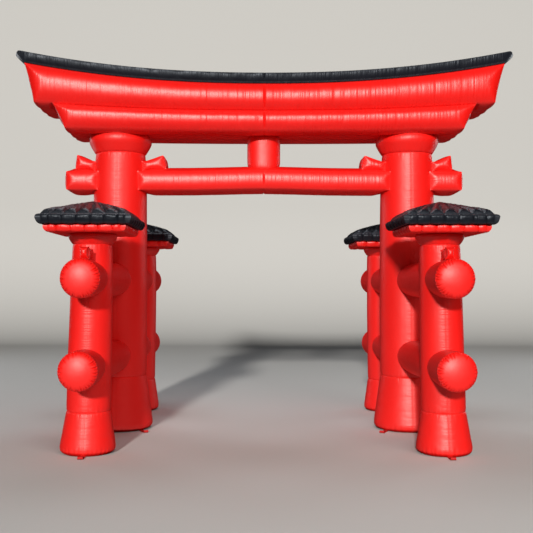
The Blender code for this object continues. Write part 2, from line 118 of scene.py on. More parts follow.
# Turned profiles, as in the part: height and radius
PILLAR = ((2.94, 0.266), (2.925, 0.268), (2.78, 0.278), (2.4, 0.288),
    (1.5, 0.295), (0.7, 0.293), (0.585, 0.289), (0.569, 0.286))
PILLAR_FOOT = ((0.5685, 0.286), (0.55, 0.291), (0.1, 0.3545), (0.055, 0.358),
    (0.02, 0.344), (0, 0.302))
PILLAR_CAPITAL = ((3.165, 0.317), (3.135, 0.331), (3.095, 0.335),
    (3.055, 0.326), (2.958, 0.279), (2.9405, 0.266))
POST = ((1.9, 0.181), (1.885, 0.184), (1.7, 0.19), (1.15, 0.198),
    (0.5, 0.204), (0.4, 0.203), (0.383, 0.2))
POST_FOOT = ((0.3825, 0.2), (0.366, 0.2045), (0.1, 0.2475), (0.055, 0.2545),
    (0.02, 0.246), (0, 0.213))
POST_CAPITAL = ((1.9995, 0.19), (1.9985, 0.214), (1.98, 0.224), (1.95, 0.216),
    (1.915, 0.192), (1.9005, 0.181))

# Relief of the turned legs: how far the skin dips
SEAM_PANEL = math.radians(-90)  # where a leg's upright panel seam runs
PANEL_RADIUS = 0.24  # turns angles from that seam into metres
PANEL_DIP, SEAM_DIP, BOWL_SEAM_DIP = 0.0018, 0.0045, 0.004
SEAM_NARROW = 0.006
PUCKER, PUCKER_REACH = 0.0024, 0.05
PANEL_FOLD, COLUMN_CREASE, COLUMN_WAVE = 0.0004, 0.001, 0.004
FOOT_CREASE = 0.003
RIM_PUCKER, RIM_HEIGHT = 0.0085, 0.045
BOWL_PUCKER, BOWL_WAVE, BELLY_RUN = 0.0035, 0.001, 0.1

# Slabs and hip roofs, as in the part
SLAB_Z = (2, 2.068)
SLAB_HALF = (0.35, 0.412)
SLAB_SEAMS = ((-1, -0.74, -0.36, 0, 0.36, 0.74, 1),
    (-1, -0.74, -0.44, -0.15, 0.15, 0.44, 0.74, 1))
SLAB_RIM = ((0.006, 0.039), (0.018, 0.034), (-0.003, 0.006))
ROOF_BAND = (2.0685, 2.15)
HIP_ROOF_HALF = (0.402, 0.468)
HIP_ROOF_SEAMS = ((-1, -0.78, -0.48, -0.16, 0.16, 0.48, 0.78, 1),
    (-1, -0.76, -0.46, -0.15, 0.15, 0.46, 0.76, 1))
HIP_ROOF_RIM = ((0.01, 0.043), (0.026, 0.038), (-0.002, 0.008))
HIP_ROOF_RISE = 0.135
HEM_RISE, HEM_WIDTH = 0.034, 0.045  # the rolled hem of a hip roof
RIB_DEPTH, RIB_START = 0.042, 0.04
ROOF_FOLD = 0.003
RIM_INSET = 0.018  # how far inside its half width a slab's rounded rim starts
RIM_PEAK = 0.35  # the share of its half height at which a rim stands out most
RIM_FADE = 0.035
RIM_CORNER = 0.055  # how near a corner the lobes run together
CORNER_BACK = (0.006, 0.01)
TUCK, SMALL_TUCK, TOP_SEAM = 0.005, 0.003, 0.004

# Tubes and their wedges, as in the part
TUBE_HEIGHTS = (("lower", 0.79), ("upper", 1.587))
TUBE_RADIUS = 0.172
TUBE_WAIST = 0.165
TUBE_RING = 0.024
STUB_REACH = 0.54
SEAM_RADIUS = 0.173
SEAM_DRAW = 0.06
DOME = 0.072
DOME_PUCKER, DOME_RIM = 0.024, 0.012  # depth of the dome's puckers, and how they start
DOME_ANGLES = (0, 48, 90)
TUBE_PUCKER, DOME_SEAM_PUCKER, TUBE_WAVE = 0.003, 0.004, 0.0008
CUSHION_HALF = (0.045, 0.085)
CUSHION_TOP = 1.872
CUSHION_SLOPE = 0.02
CUSHION_SWELL = 0.003
CUSHION_PUFF = 0.03
CUSHION_DRAW = 0.016
CUSHION_Y = 0.285

# Webbing loops, as in the part
WEB_WIDTH = 0.05
WEB = 0.0025
WEB_GAP, WEB_ROUND = 0.0003, 0.001
LOOP_HEIGHT = 0.026
EYE = 0.075
POST_LOOP = {"inwards": 0, "forwards": 0.05, "aim": 0, "length": 0.295}
PILLAR_LOOP = {"inwards": 0.204, "forwards": 0.06, "aim": 25, "length": 0.3}

# Noise: one fixed square of numbers, the narrowness of a fold, and how puckers stray and how
# wide they are, in shares of their pitch
SIZE = 256
LATTICE = np.random.default_rng(11).random((SIZE, SIZE)) * 2 - 1
FOLD_NARROW = 2.4
TICK_STRAY, TICK_WIDTH = 0.22, 0.16


# --- numbers

def mix(pair, t):
    return pair[0] + (pair[1] - pair[0]) * t


def clip(t):
    return np.clip(t, 0, 1)


def inner(t):
    """How far t lies inside its ends -1 and 1: 0 at an end and 1 in the middle."""
    return 1 - np.abs(t)


def at_end(t):
    return np.abs(t) == 1


def fade(away, reach):
    """1 at an edge, falling to 0 at its reach away from it."""
    return clip(1 - away / reach)


def rise(t):
    """0 at t = 0, rising to 1 at t = 1 and flat from there."""
    s = clip(t)
    return s * (2 - s)


def arch(t, ramp=1):
    """0 at the ends t = -1 and 1, rising to 1 within the ramp."""
    return rise(inner(t) / ramp)


def hump(share):
    """0 at share 0 and 1, and 1 halfway."""
    return 1 - (2 * share - 1) ** 2


def lobe(t, count):
    """Channels side by side from t = -1 to 1: 0 on each seam and 1 on each crown."""
    return hump((t + 1) / 2 * count % 1)


def channel(t, seams):
    """The same between uneven seams that run from -1 to 1."""
    seams = np.array(seams)
    k = np.clip(np.searchsorted(seams, t, side="right") - 1, 0, len(seams) - 2)
    return hump((t - seams[k]) / (seams[k + 1] - seams[k]))


def split_at(w, peak):
    """How far w lies from a peak, as a share of the way to the end -1 or 1 on its side."""
    return np.where(w > peak, (w - peak) / (1 - peak), (peak - w) / (1 + peak))


def soft_min(a, b, blend):
    h = clip(0.5 + 0.5 * (b - a) / blend)
    return b + (a - b) * h - blend * h * (1 - h)


def tent(a, b, blend=0.3, power=2):
    """A hipped crown, from the shares of its ramp that lie between a point and two edges."""
    return 1 - (1 - clip(soft_min(a, b, blend))) ** power


def round_corner(near, up, radius):
    """How far a point of a square corner moves back on both ways when the corner is rounded."""
    return (radius * near * (1 - np.sqrt(1 - up * up / 2)),
        radius * up * (1 - np.sqrt(1 - near * near / 2)))


def puff(t, swell, crown, edges, hem, folds=0, draw=DRAW):
    """How far a face at t = -1 or 1 swells out along t, between edges that are drawn in."""
    return np.sign(t) * (at_end(t) * ((swell + draw) * crown - folds) - draw * edges * hem)


def sweep(level, x):
    """The height of a beam's long edge over x."""
    return level[0] + level[1] * np.abs(x / END_REACH) ** BEAM_CURVE


def noise(x, y, seed=0, around=0):
    """Smooth noise from -1 to 1, one cell to a unit. around closes it after so many cells in x."""
    i, j = np.floor(x).astype(int), np.floor(y).astype(int)
    fx, fy = x - i, y - j
    fx, fy = fx * fx * (3 - 2 * fx), fy * fy * (3 - 2 * fy)
    period = around or SIZE
    left, right = (i % period + 53 * seed) % SIZE, ((i + 1) % period + 53 * seed) % SIZE
    down, up = (j + 37 * seed) % SIZE, (j + 1 + 37 * seed) % SIZE
    low = LATTICE[left, down] * (1 - fx) + LATTICE[right, down] * fx
    high = LATTICE[left, up] * (1 - fx) + LATTICE[right, up] * fx
    return low * (1 - fy) + high * fy


def swells(x, y, seed=0, around=0):
    """The same noise from 0 to 1."""
    return 0.5 + 0.5 * noise(x, y, seed, around)


def crease(x, y, seed=0, around=0):
    """Lines of sharp folds between soft swells: 1 in a fold, 0 on a swell."""
    return clip(1 - FOLD_NARROW * np.abs(noise(x, y, seed, around))) ** 1.5


def ticks(share, away, count, seed, reach):
    """Short folds that leave a seam, unevenly spaced: share is 0 to 1 along it, away from it."""
    cell = np.floor(share * count).astype(int)
    place = LATTICE[(7 * cell + seed) % SIZE, seed % SIZE]
    size = np.abs(LATTICE[(11 * cell + 3 * seed) % SIZE, (seed + 90) % SIZE])
    across = (share * count - cell - 0.5 - TICK_STRAY * place) / TICK_WIDTH
    return np.exp(-across ** 2) * (0.5 + 0.5 * size) * fade(away, reach * (0.7 + 0.6 * size))


def full_turn(steps):
    return np.arange(steps) / steps * math.tau


def turn_from(turn, at):
    """The turn from an angle, from -180 to 180 degrees."""
    return (turn - at + math.pi) % math.tau - math.pi


def spread(count, gather=0):
    """Steps from -1 to 1, gathered towards both ends by a share."""
    t = np.linspace(-1, 1, count + 1)
    out = (1 - gather) * t + gather * np.sin(t * math.pi / 2)
    out[0], out[-1] = -1, 1
    return out


def run_along(line):
    """How long a line is up to each of its points."""
    return join(([0], np.cumsum(np.linalg.norm(np.diff(line, axis=0), axis=1))))


def smooth_line(points, size, gather=0):
    """A line that follows points with its corners rounded, cut into steps of about a size."""
    points = np.array(points, float)
    middles = (points[:-1] + points[1:]) / 2
    t = np.linspace(0, 1, 17)[:, None]
    line = [points[:1]]
    for a, b, c in zip(middles[:-1], points[1:-1], middles[1:]):
        line.append((1 - t) ** 2 * a + 2 * t * (1 - t) * b + t * t * c)
    line = join(line + [points[-1:]])
    run = run_along(line)
    count = max(len(points), int(round(run[-1] / size)))
    s = run[-1] * (spread(count, gather) + 1) / 2
    return np.stack([np.interp(s, run, line[:, k]) for k in (0, 1)], 1)


def skin_radius(profile):
    """A function that gives the radius of a turned, rounded profile at a height."""
    line = smooth_line(profile, 0.002)[::-1]
    return lambda z: np.interp(z, line[:, 0], line[:, 1])


# --- meshes

def new_object(name, data):
    obj = bpy.data.objects.new(name, data)
    bpy.context.scene.collection.objects.link(obj)
    return obj


def piece(node_name, points, faces, cloth, stitch, fabric):
    """Make a node's closed piece. faces, cloth and stitch are lists of arrays, by corner count."""
    tape = fabric["slot"] == "red_webbing"
    name = node_name + ("_tape" if tape else "_cloth")
    mesh = bpy.data.meshes.new(name)
    volume = 0
    for f in faces:
        for k in range(1, f.shape[1] - 1):
            a, b, c = points[f[:, 0]], points[f[:, k]], points[f[:, k + 1]]
            volume += np.einsum("ij,ij->i", a, np.cross(b, c)).sum()
    way = -1 if volume < 0 else 1
    corners = join([f[:, ::way].ravel() for f in faces])
    counts = join([np.full(len(f), f.shape[1]) for f in faces])
    starts = join(([0], np.cumsum(counts)[:-1]))
    mesh.vertices.add(len(points))
    mesh.vertices.foreach_set("co", np.asarray(points, np.float32).ravel())
    mesh.loops.add(len(corners))
    mesh.loops.foreach_set("vertex_index", corners.astype(np.int32))
    mesh.polygons.add(len(counts))
    mesh.polygons.foreach_set("loop_start", starts.astype(np.int32))
    for layer_name, layer in (("cloth", cloth), ("stitch", stitch)):
        values = [u[:, ::way].reshape(-1, 2) for u in layer]
        uv = mesh.uv_layers.new(name=layer_name)
        uv.data.foreach_set("uv", join(values).astype(np.float32).ravel())
    mesh.update(calc_edges=True)
    mesh.validate()
    mesh.shade_smooth()
    mesh.set_sharp_from_angle(angle=math.radians(48))
    mesh.materials.append(fabric)
    obj = new_object(name, mesh)
    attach(obj, "root")
    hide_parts(node_name)


def box_piece(name, spans, half, shape, fabric):
    """A box cut at the given spans from -1 to 1, each point of its skin moved by shape."""
    size = [len(s) for s in spans]
    quads, axes = [], []
    for axis in range(3):
        p, q = (axis + 1) % 3, (axis + 2) % 3
        a, b = np.meshgrid(np.arange(size[p] - 1), np.arange(size[q] - 1), indexing="ij")
        for end in (0, size[axis] - 1):
            index, corner = [None, None, None], []
            for da, db in ((0, 0), (1, 0), (1, 1), (0, 1)):
                index[axis] = np.full(a.shape, end)
                index[p], index[q] = a + da, b + db
                corner.append(np.ravel_multi_index(index, size).ravel())
            if end == 0:
                corner.reverse()
            quads.append(np.stack(corner, 1))
            axes.append(np.full(len(quads[-1]), axis))
    quads, axes = join(quads), join(axes)
    codes, faces = np.unique(quads, return_inverse=True)
    faces = faces.reshape(quads.shape)
    u, v, w = (s[i] for s, i in zip(spans, np.unravel_index(codes, size)))
    points = np.stack(shape(u, v, w), 1)
    free = np.stack([inner(t) * h for t, h in zip((u, v, w), half)], 1)
    cloth, stitch = np.empty((2,) + faces.shape + (2,))
    for axis in range(3):
        p, q = (axis + 1) % 3, (axis + 2) % 3
        there = axes == axis
        on, ways = points[faces[there]], free[faces[there]]
        nearer = (ways[..., p].mean(1) < ways[..., q].mean(1))[:, None]
        cloth[there] = on[..., [p, q]]
        stitch[there] = np.stack([np.where(nearer, on[..., q], on[..., p]),
            np.where(nearer, ways[..., p], ways[..., q])], -1)
    piece(name, points, [faces], [cloth], [stitch], fabric)


def with_tips(rows, lengths, before, after):
    """Rings closed at both ends in their middles, with lengths that grow by the ends' sizes."""
    first, last = (np.broadcast_to(row.mean(0), (1,) + row.shape) for row in (rows[0], rows[-1]))
    return (join((first, rows, last)),
        join(([-before], lengths, [lengths[-1] + after])))


def round_piece(name, rows, lengths, radius, fabric, seam_rows=None, panel=None):
    """A closed skin of rings, (rings, steps, 3), its first and last ring a point.

    seam_rows are the rings of its two end seams, and panel the turn of an upright seam.
    """
    rows = np.asarray(rows)
    count, steps = rows.shape[:2]
    inner = rows[1:-1].reshape(-1, 3)
    points = join((rows[0, :1], inner, rows[-1, :1]))
    last = len(points) - 1
    grid = 1 + np.arange((count - 2) * steps).reshape(count - 2, steps)
    beside = np.roll(grid, -1, axis=1)
    quads = np.stack((grid[:-1], beside[:-1], beside[1:], grid[1:]), -1).reshape(-1, 4)
    first = np.stack((np.zeros(steps, int), beside[0], grid[0]), 1)
    final = np.stack((np.full(steps, last), grid[-1], beside[-1]), 1)
    turn = np.arange(steps + 1) / steps * math.tau
    a = np.broadcast_to(turn * radius, (count, steps + 1))
    s = np.broadcast_to(np.asarray(lengths, float)[:, None], (count, steps + 1))
    low, high = seam_rows or (1, count - 2)
    seam = np.minimum(np.abs(s - lengths[low]), np.abs(s - lengths[high]))

    def corners(u, v):
        uv = np.stack((u, v), -1)
        body = np.stack((uv[1:-2, :-1], uv[1:-2, 1:], uv[2:-1, 1:], uv[2:-1, :-1]), -2)
        top = np.stack((uv[0, :-1], uv[1, 1:], uv[1, :-1]), 1)
        base = np.stack((uv[-1, :-1], uv[-2, :-1], uv[-2, 1:]), 1)
        return [body.reshape(-1, 4, 2), join((top, base))]

    stitch = corners(a, seam)
    if panel is not None:
        apart = np.abs(turn_from(turn, panel)) * radius
        upright = corners(s, np.broadcast_to(apart, (count, steps + 1)))
        for ends, sides in zip(stitch, upright):
            nearer = sides[..., 1].mean(1) < ends[..., 1].mean(1)
            ends[nearer] = sides[nearer]
    piece(name, points, [quads, join((first, final))], corners(a, s), stitch, fabric)


# --- fabrics

class Look:
    """A material in the making, with short ways to add nodes; each gives the new node's output."""

    def __init__(self, name, slot=""):
        self.material = bpy.data.materials.new(name)
        if slot:
            self.material["slot"] = slot
        self.material.use_nodes = True
        self.tree = self.material.node_tree

    def fill(self, target, inputs):
        """Set a node's inputs to values, or link them to other nodes' outputs."""
        for key, value in inputs.items():
            if isinstance(value, bpy.types.NodeSocket):
                self.tree.links.new(value, target.inputs[key])
            else:
                target.inputs[key].default_value = value

    def finish(self, inputs):
        """Fill in the shader itself."""
        self.fill(self.tree.nodes["Principled BSDF"], inputs)
        return self.material

    def add(self, kind, output, inputs=None, **settings):
        new = self.tree.nodes.new("ShaderNode" + kind)
        for key, value in settings.items():
            setattr(new, key, value)
        self.fill(new, inputs or {})
        return new.outputs[output]

    def math(self, operation, a, b=0, c=0):
        return self.add("Math", 0, {0: a, 1: b, 2: c}, operation=operation)

    def noise(self, place, scale, detail, roughness=0.5):
        return self.add("TexNoise", "Fac", {"Vector": place, "Scale": scale, "Detail": detail,
            "Roughness": roughness})

    def wave(self, place, direction, scale, distortion):
        return self.add("TexWave", "Fac", {"Vector": place, "Scale": scale,
            "Distortion": distortion}, bands_direction=direction)

    def falling(self, value, start, end):
        """1 up to a start, falling to 0 at an end."""
        return self.add("MapRange", "Result", {"Value": value, "From Min": start,
            "From Max": end, "To Min": 1, "To Max": 0})

    def blend(self, share, a, b):
        return self.add("Mix", "Result", {"Factor": share, "A": a, "B": b}, data_type="RGBA")

    def bump(self, height, relief, normal=None):
        """relief gives the distance and the strength."""
        inputs = {"Height": height, "Distance": relief[0], "Strength": relief[1]}
        if normal:
            inputs["Normal"] = normal
        return self.add("Bump", "Normal", inputs)


# Scale and detail of the coated cloth's noises, its relief, and its row of stitches
CLOUDS, SCUFFS, GRAIN, FOLDS = (2.3, 3), (24, 4), (210, 2), (9, 2, 0.4)
WEAVE_SCALE, WEAVE_STRAY = 210, 0.2
FOLD_RELIEF, GRAIN_RELIEF, STREAK_RELIEF = (0.01, 0.25), (0.0006, 0.25), 0.006
WEAVE_RELIEF, THREAD_RELIEF = (0.0002, 0.3), (0.0008, 0.6)
STREAK_SCALE = (46, 5, 1)  # along a seam and away from it
STITCH_IN, STITCH_HALF, STITCH_PITCH, STITCH_SHARE = 0.01, 0.0011, 0.009, 0.7
WORN_REACH, WORN_ROUGHNESS, GRAIN_ROUGHNESS = 0.022, 0.12, 0.1


def coated_fabric(slot, tag, shades, roughness, specular, streaks, sheen=0,
        glint=(1, 1, 1, 1)):
    """Woven cloth with a satin coat: weave, thread unevenness, folds, stitches and worn edges.

    streaks gives the strength of the folds that leave a seam, and where they fade out.
    """
    look = Look(tag + "_look", slot)
    place = look.add("TexCoord", "Object")
    cloth = look.add("UVMap", "UV", uv_map="cloth")
    stitch = look.add("UVMap", "UV", uv_map="stitch")
    clouds, scuffs, grain, folds = (look.noise(place, *row)
        for row in (CLOUDS, SCUFFS, GRAIN, FOLDS))
    warp, weft = (look.wave(cloth, way, WEAVE_SCALE, WEAVE_STRAY) for way in "XY")
    weave = look.math("MULTIPLY", warp, weft)
    along = look.add("SeparateXYZ", "X", {"Vector": stitch})
    away = along.node.outputs["Y"]
    stretched = look.add("VectorMath", "Vector", {0: stitch, 1: STREAK_SCALE}, operation="MULTIPLY")
    pucker = look.math("MULTIPLY", look.noise(stretched, 1, 2, 0.55),
        look.falling(away, streaks[1], streaks[2]))
    off_row = look.math("ABSOLUTE", look.math("SUBTRACT", away, STITCH_IN))
    run = look.math("FRACT", look.math("DIVIDE", along, STITCH_PITCH))
    thread = look.math("MULTIPLY", look.math("LESS_THAN", off_row, STITCH_HALF),
        look.math("LESS_THAN", run, STITCH_SHARE))
    wear = look.math("MULTIPLY", look.falling(away, 0, WORN_REACH), scuffs)
    rough = look.math("MULTIPLY_ADD", grain, GRAIN_ROUGHNESS, roughness - GRAIN_ROUGHNESS / 2)
    normal = look.bump(folds, FOLD_RELIEF)
    normal = look.bump(pucker, (STREAK_RELIEF, streaks[0]), normal)
    normal = look.bump(grain, GRAIN_RELIEF, normal)
    normal = look.bump(weave, WEAVE_RELIEF, normal)
    return look.finish({
        "Base Color": look.blend(wear, look.blend(clouds, shades[0], shades[1]), shades[2]),
        "Roughness": look.math("MULTIPLY_ADD", wear, WORN_ROUGHNESS, rough),
        "Specular IOR Level": specular, "Specular Tint": glint,
        "Sheen Weight": sheen, "Sheen Roughness": 0.35, "Sheen Tint": shades[2],
        "Normal": look.bump(thread, THREAD_RELIEF, normal)})


def webbing_fabric(slot, colour):
    """Heavy woven tape with ribs across it, painted darker in the grooves between the ribs as
    shade.
    """
    look = Look(slot + "_look", slot)
    cloth = look.add("UVMap", "UV", uv_map="cloth")
    across = look.wave(cloth, "X", 130, 0.6)
    weave = look.math("ADD", across, look.wave(cloth, "Y", 90, 0.3))
    # painted shade: the tape is darker in the grooves between its ribs, where the bump is low
    groove_shade = tuple(c * 0.6 for c in colour[:3]) + (1,)
    return look.finish({"Base Color": look.blend(across, groove_shade, colour), "Roughness": 0.72,
        "Normal": look.bump(weave, (0.0006, 0.6))})


# The two tones of a cloth and the tone of its worn edges
RED_SHADES = ((0.76, 0.006, 0.004, 1), (0.84, 0.008, 0.0055, 1), (0.86, 0.016, 0.012, 1))
BLACK_SHADES = ((0.006, 0.0068, 0.01, 1), (0.01, 0.0115, 0.017, 1),
    (0.036, 0.04, 0.05, 1))
RED = coated_fabric("red_fabric", "red_beams", RED_SHADES, 0.42, 0.72, (0.8, 0.16, 0.34))
RED_ROUND = coated_fabric("red_fabric", "red_round", RED_SHADES, 0.47, 0.68, (0.7, 0.02, 0.09))
BLACK = coated_fabric("black_fabric", "black", BLACK_SHADES, 0.38, 0.3, (0.9, 0.16, 0.34),
    sheen=0.3, glint=(0.8, 0.88, 1, 1))
WEBBING = webbing_fabric("red_webbing", (0.7, 0.015, 0.014, 1))


# --- beams

# Folds on a beam's faces: share of the depth, pitch in metres, slant up and along, and seed
BEAM_FOLDS = ((swells, 1.3, 0.021, 0.7, 0, 1), (swells, 1, 0.052, 0.6, 2, 0),
    (crease, 1.8, 0.13, 0.5, 0, 3))


def middle(x):
    """The middle seam pulls a beam's crown in."""
    return 1 - sum(loss * np.exp(-np.abs(x) / reach) for loss, reach in MIDDLE_SEAM)


def shimaki_underside(x, y):
    """The height of the second beam's lobed underside."""
    along = rise((SHIMAKI_HALF[0] - np.abs(x)) / LOBE_RAMP) * middle(x)
    return sweep(SHIMAKI_BOTTOM, x) - LOBE_DROP * lobe(y / (BEAM_DEPTH / 2), LOBES) * along


def beam_creases(x, w, free, v, seed, depth):
    """How far the cloth of a beam's front dips: puckers on the seams and fine folds across."""
    out = np.zeros_like(x)
    centre = 0.5 + 0.5 * np.exp(-(x / CREASED_HALF) ** 2)
    inside = clip(inner(w) * 3)
    near = np.exp(-inner(w) / 0.25)
    for side in (-1, 1):
        pick = seed + 5 * (side > 0)
        folds = sum(share * kind(x / pitch, w * up + x * slant, pick + more)
            for kind, share, pitch, up, slant, more in BEAM_FOLDS)
        edge = ticks(x / 0.85 % 1, inner(w) * 0.16, 24, pick + 2, 0.07)
        out += ((np.sign(v) == side) * clip(free / 0.05) * depth
            * (folds * centre * inside + TICK_SHARE * edge * near))
    return out


def raised(level, by):
    return level[0] + by, level[1]


def beam(name, half, bottom, top, lobed_from, rows, skew, fold, seed, swell, fabric=RED,
        depth=BEAM_DEPTH, end_swell=0.045, end_shape=(1, 0), top_swell=0, tip=0, bow=0):
    """A swept beam with slanted ends, hipped crowned faces and channels underneath.

    lobed_from is where along the beam its channels start, and skew the height of its crown's
    ridge in the middle and at the ends. tip is the radius that rounds the upper edge of each
    end, and bow how far the ends bulge.
    """
    reach = max(half)
    columns = 2 * int(round(reach / BEAM_CELL))
    wide, tall = end_shape

    def shape(u, v, w):
        level = (w + 1) / 2
        end = mix(half, level)
        x = u * end
        free = inner(u) * end
        low = sweep(bottom, x)
        high = sweep(top, x) - low
        pulled, open_end = middle(x), rise(free / LOBE_RAMP)
        lobed = clip((np.abs(x) - lobed_from) / LOBE_START)
        channels = lobe(v, LOBES)
        long_edge = 1 - split_at(w, mix(skew, clip(np.abs(x) / reach) ** 1.5))
        crown = tent(long_edge, free / HIP, 0.12, CROWN_POWER) * pulled
        out = swell * crown - beam_creases(x, w, free, v, seed, fold)
        y = v * depth / 2 + at_end(v) * np.sign(v) * out
        sag = LOBE_DROP * lobed * channels * mix((END_LOBES, 1), open_end) * pulled
        sag = sag + END_BELLY * arch(v) * lobed * fade(free, BELLY_RAMP)
        z = low + high * level - (w == -1) * sag
        z = z + (w == 1) * top_swell * arch(v) * open_end * pulled
        a = arch(v, wide)
        b = 1 - (np.abs(w - tall) / (1 + np.sign(tall - w) * tall)) ** 2
        dent = END_DENT * crease(v * 6, w * 1.3, seed + 9) * clip(3 * a * b)
        fall = fade(free, END_FALL) ** 2
        hang = LOBE_DROP * lobed * channels * fade(level, 0.5) ** 2
        stand = at_end(u) * ((end_swell + EDGE_DRAW) * a * b - dent + 0.2 * hang)
        x = x + np.sign(u) * (stand - EDGE_DRAW * np.maximum(a, b) * fall + bow * b * fall)
        if tip:
            back, down = round_corner(fade(free, tip), fade(high * (1 - level), tip), tip)
            x, z = x - np.sign(u) * back, z - down
        return x, y, z

    spans = (spread(columns), spread(18, 0.3), spread(rows, 0.35))
    box_piece(name, spans, (reach, depth / 2, (top[0] - bottom[0]) / 2), shape, fabric)


def beams():
    beam("kasagi", KASAGI_HALF, raised(KASAGI_BOTTOM, CLEAR), raised(KASAGI_TOP, -CLEAR),
        LOBED_FROM, 20, (0, 0.15), 0.0023, 1, swell=0.078)
    beam("roof_strip", ROOF_HALF, KASAGI_TOP, ROOF_TOP, NOT_LOBED, 14, (0.92, 0.92), 0.0018, 21,
        swell=0.026, fabric=BLACK, depth=ROOF_DEPTH, end_swell=0.03, end_shape=(0.3, 0.55),
        top_swell=0.026, tip=0.045, bow=0.022)
    beam("shimaki", SHIMAKI_HALF, SHIMAKI_BOTTOM, raised(KASAGI_BOTTOM, -CLEAR),
        ALL_LOBED, 16, (0.15, 0.25), 0.0022, 41, swell=0.06)


# --- cross beam

def pillar_reach(y, z):
    """How far a pillar's skin stands from its axis along X, at y."""
    return np.sqrt(np.maximum((PILLAR_SKIN(z) + CLEAR) ** 2 - y * y, 0))


def nuki_arch(x):
    """The strut pulls the middle of the cross beam up a little."""
    return NUKI_LIFT[0] * np.exp(-(x / NUKI_LIFT[1]) ** 2)


def nuki_top(x, y, inside=True):
    """The height of the cross beam's crown, or of its stubs'."""
    skin = pillar_reach(y, NUKI_Z[1])
    if inside:
        free, pulled, lift = PILLAR_X - skin - np.abs(x), middle(x), nuki_arch(x)
    else:
        free = np.minimum(np.abs(x) - (PILLAR_X + skin), NUKI_REACH - np.abs(x))
        pulled, lift = 1, 0
    along = rise(free / NUKI_RAMP) * pulled
    deep = arch(np.clip(y / NUKI_HALF_DEPTH, -1, 1))
    return (NUKI_Z[1] + lift + (NUKI_CROWN + DRAW) * along * deep
        - DRAW * np.maximum(along, deep))


def nuki_part(name, side, seed):
    """The cross beam, or its stub at a side, between the pillars' skins and its free ends."""
    def shape(u, v, w):
        flank, deep = arch(w), arch(v)
        y = v * NUKI_HALF_DEPTH
        z = mix(NUKI_Z, (w + 1) / 2)
        skin = pillar_reach(y, z)
        if side == 0:
            stop = PILLAR_X - skin
            x = u * stop
            free, pulled, lift = stop - np.abs(x), middle(x), nuki_arch(x)
        else:
            start = PILLAR_X + skin
            share = (u + 1) / 2
            x = start + (NUKI_REACH - start) * share
            free, pulled, lift = np.minimum(x - start, NUKI_REACH - x), 1, 0
        along = rise(free / NUKI_RAMP) * pulled
        face = tent(inner(w), free / NUKI_HIP, 0.3, 2.3) * pulled
        fine = swells(x / 0.022, w * 0.8, seed) + swells(x / 0.06, w * 0.6, seed + 4)
        folds = NUKI_FOLD * fine * clip(free / 0.04) * flank
        ends = ticks((w + 1) / 2, free, 7, seed + 1, 0.1) * flank * clip(free / 0.004)
        y = y + puff(v, NUKI_SWELL, face, np.maximum(along, flank),
            fade(inner(v) * NUKI_HALF_DEPTH, NUKI_HEM) ** 2, folds + NUKI_TICK * ends)
        under = NUKI_UNDER_FOLD * swells(x / 0.03, v, seed + 2) * deep * (w < 0)
        z = z + lift + puff(w, np.where(w < 0, NUKI_BELLY, NUKI_CROWN),
            along * deep, np.maximum(along, deep), fade(inner(w), 0.5) ** 2,
            under * clip(free / 0.04))
        if side:
            x = x + puff(share, STUB_SWELL, tent(inner(w), inner(v) * 1.9),
                np.maximum(flank, deep), fade(NUKI_REACH - x, NUKI_HEM) ** 2)
            back, down = round_corner(fade((1 - share) * STUB_LENGTH, CORNER),
                fade(inner(w) * NUKI_HALF_HEIGHT, CORNER), CORNER)
            x, z = side * (x - back), z - np.sign(w) * down
        return x, y, z

    length = 2 * (PILLAR_X - LEG_HALF) if side == 0 else NUKI_REACH - PILLAR_X - LEG_HALF
    columns = 2 * int(round(length / 2 / NUKI_CELL))
    spans = (spread(columns), spread(18, 0.3), spread(16, 0.3))
    box_piece(name, spans, (length / 2, NUKI_HALF_DEPTH, NUKI_HALF_HEIGHT), shape, RED)


def wedge(name, side, far, inside, seed):
    """A bracing wedge that lies on the cross beam, from the pillar's skin to its far end."""
    base_end = far[0]
    way = -1 if inside else 1
    edge = PILLAR_X + way * LEG_HALF

    def shape(u, v, w):
        level, along = (w + 1) / 2, (u + 1) / 2
        y = v * WEDGE_HALF_DEPTH
        guess = NUKI_Z[1] + mix(WEDGE_HEIGHTS, along) * level
        start = PILLAR_X + way * pillar_reach(y, guess)
        x = start + (mix(far, level) - start) * along
        top = NUKI_Z[1] + mix(WEDGE_HEIGHTS, clip((x - edge) / (base_end - edge)))
        free, above, deep = arch(u), arch(w), arch(v)
        folds = WEDGE_TICK * ticks(level, inner(u) * 0.1, 4, seed, 0.07) * above
        y = y + puff(v, WEDGE_SWELL, tent(inner(u) * 1.5, inner(w)),
            np.maximum(free, above),
            fade(inner(v) * WEDGE_HALF_DEPTH, WEDGE_HEM) ** 2, folds)
        x = x + way * puff(along, WEDGE_END_SWELL, tent(inner(w), inner(v) * 1.5),
            np.maximum(above, deep),
            fade((1 - along) * WEDGE_LENGTH, WEDGE_HEM) ** 2)
        low = nuki_top(x, y, inside) + CLEAR
        top = top + puff(level, WEDGE_END_SWELL, tent(inner(u) * 1.3, inner(v)),
            np.maximum(free, deep), 1)
        back, down = round_corner(fade((1 - along) * WEDGE_LENGTH, CORNER),
            fade((1 - level) * WEDGE_MIDDLE, CORNER), CORNER)
        return side * (x - way * back), y, low + (top - low) * level - down

    spans = (spread(34, 0.2), spread(26, 0.2), spread(20, 0.2))
    box_piece(name, spans, (0.13, WEDGE_HALF_DEPTH, 0.07), shape, RED)


def superellipse(turn, half):
    c, s = np.cos(turn), np.sin(turn)
    reach = half * (np.abs(c) ** STRUT_POWER + np.abs(s) ** STRUT_POWER) ** (-1 / STRUT_POWER)
    return reach * c, reach * s


